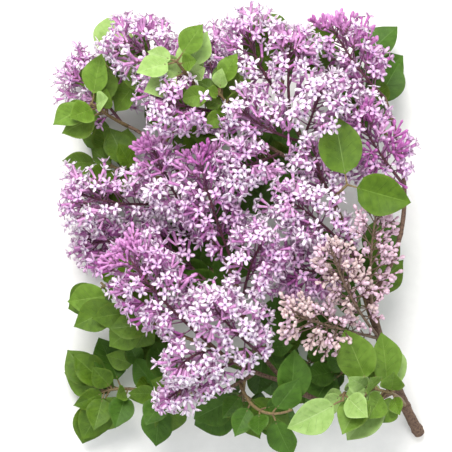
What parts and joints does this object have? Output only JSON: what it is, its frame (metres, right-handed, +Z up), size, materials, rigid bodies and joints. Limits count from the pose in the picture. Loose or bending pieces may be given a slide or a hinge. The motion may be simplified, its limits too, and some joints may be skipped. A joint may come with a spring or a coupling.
{
  "type": "cut flowering lilac branch",
  "caption": "Cut flowering branch of a small-leaved lilac, lying down: a woody stem that forks into thin boughs, with pale purple panicles, pinkish bud clusters and broad oval leaves.",
  "frame": {"origin": "on the surface the branch lies on, under the middle of its bounding box", "axes": "+Z up from the surface, +Y from the cut foot of the stem towards the flowering tips"},
  "size_m": [0.2544, 0.2956, 0.1302],
  "materials": {
    "bark": "matt reddish-brown bark of thin lilac stems",
    "blossom": "soft pale purple petals on purple tubes",
    "bud": "pinkish closed buds",
    "leaf": "fresh green leaf with a slight gloss"
  },
  "bodies": {
    "root": {"main_stem": "bark", "bough_low": "bark", "bough_front": "bark", "bough_centre": "bark", "bough_right": "bark", "bough_far_right": "bark", "bough_top": "bark", "bough_upper_left": "bark", "bough_left": "bark", "bough_far_left": "bark", "bough_low_left": "bark", "panicle_front_left": "blossom", "panicle_low_centre": "blossom", "panicle_low_front": "blossom", "panicle_centre": "blossom", "panicle_centre_right": "blossom", "panicle_centre_left": "blossom", "panicle_right": "blossom", "panicle_upper_right": "blossom", "panicle_upper_centre": "blossom", "panicle_top": "blossom", "panicle_top_right": "blossom", "panicle_right_inner": "blossom", "panicle_right_edge": "blossom", "panicle_upper_mid": "blossom", "panicle_top_mid": "blossom", "panicle_top_left": "blossom", "panicle_corner_left": "blossom", "panicle_low_mid": "blossom", "panicle_left": "blossom", "panicle_left_upper": "blossom", "panicle_middle": "blossom", "panicle_bud_right": "bud", "panicle_bud_up": "bud", "panicle_bud_low": "bud", "panicle_left_low": "blossom", "panicle_right_low": "blossom", "panicle_top_inner": "blossom", "leaves_foot": "leaf", "leaves_foot_front": "leaf", "leaves_low_front": "leaf", "leaves_low_centre": "leaf", "leaves_bottom": "leaf", "leaves_low_left": "leaf", "leaves_low_right": "leaf", "leaves_low_back": "leaf", "leaves_left_low": "leaf", "leaves_left": "leaf", "leaves_corner_left": "leaf", "leaves_top_left": "leaf", "leaves_top_front": "leaf", "leaves_upper_mid": "leaf", "leaves_top": "leaf", "leaves_right": "leaf", "leaves_centre_back": "leaf", "leaves_low_middle": "leaf", "leaves_right_low": "leaf", "leaves_right_top": "leaf", "leaves_centre_inner": "leaf", "leaves_left_back": "leaf"}
  },
  "joints": []
}
